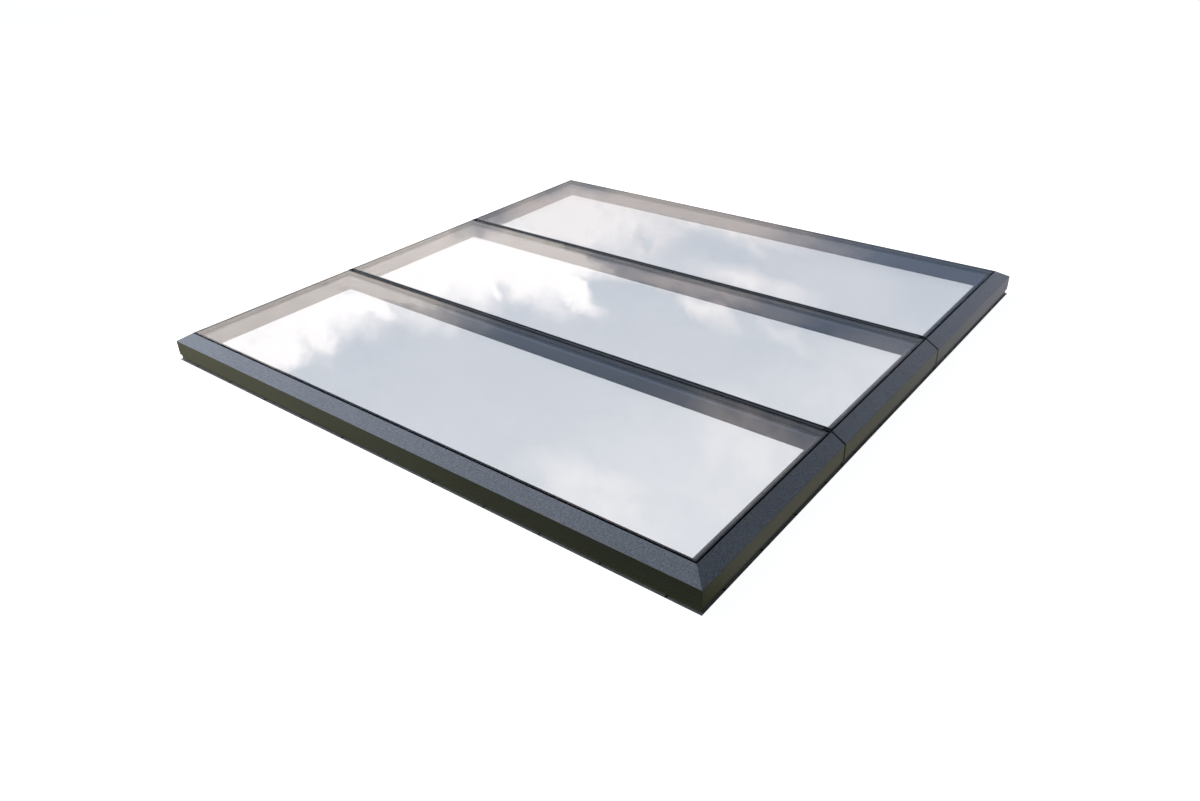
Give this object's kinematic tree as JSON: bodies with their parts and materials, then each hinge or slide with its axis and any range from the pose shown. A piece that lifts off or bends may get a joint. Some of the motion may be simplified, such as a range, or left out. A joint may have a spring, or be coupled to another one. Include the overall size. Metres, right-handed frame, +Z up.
{
  "type": "flat modular rooflight",
  "caption": "Flat modular glass rooflight in sloped metal capping: sealed glass units side by side on a low frame that sits over a roof kerb.",
  "frame": {"origin": "middle of the plan at the level of the skirt's bottom edge", "axes": "+Z up through the glass, +X along the long glass edges to the right, +Y from the front bay to the back bay"},
  "size_m": [3.308, 3.308, 0.152],
  "materials": {
    "cap_coating": "satin blue-grey powder coat with a fine texture",
    "skirt_coating": "satin dark grey powder coat",
    "frame_coating": "satin blue-grey powder coat",
    "joint_bar_coating": "satin grey powder coat",
    "black_seal": "matt black sealant",
    "black_gasket": "black extruded gasket",
    "spacer_bar": "dark grey warm-edge spacer",
    "outer_glass": "clear toughened glass",
    "inner_glass": "clear laminated glass"
  },
  "bodies": {
    "root": {"back_cap": "cap_coating", "back_rail": "frame_coating", "back_skirt": "skirt_coating", "front_cap": "cap_coating", "front_rail": "frame_coating", "front_skirt": "skirt_coating", "glass_gasket_1": "black_gasket", "glass_gasket_2": "black_gasket", "glass_gasket_3": "black_gasket", "inner_pane_1": "inner_glass", "inner_pane_2": "inner_glass", "inner_pane_3": "inner_glass", "joint_1_back_rail": "frame_coating", "joint_1_front_rail": "frame_coating", "joint_2_back_rail": "frame_coating", "joint_2_front_rail": "frame_coating", "joint_bar_1": "joint_bar_coating", "joint_bar_2": "joint_bar_coating", "left_cap_1": "cap_coating", "left_cap_2": "cap_coating", "left_cap_3": "cap_coating", "left_joint_seal_1": "black_seal", "left_joint_seal_2": "black_seal", "left_rail_1": "frame_coating", "left_rail_2": "frame_coating", "left_rail_3": "frame_coating", "left_skirt": "skirt_coating", "outer_pane_1": "outer_glass", "outer_pane_2": "outer_glass", "outer_pane_3": "outer_glass", "right_cap_1": "cap_coating", "right_cap_2": "cap_coating", "right_cap_3": "cap_coating", "right_joint_seal_1": "black_seal", "right_joint_seal_2": "black_seal", "right_rail_1": "frame_coating", "right_rail_2": "frame_coating", "right_rail_3": "frame_coating", "right_skirt": "skirt_coating", "spacer_1": "spacer_bar", "spacer_2": "spacer_bar", "spacer_3": "spacer_bar"}
  },
  "joints": []
}
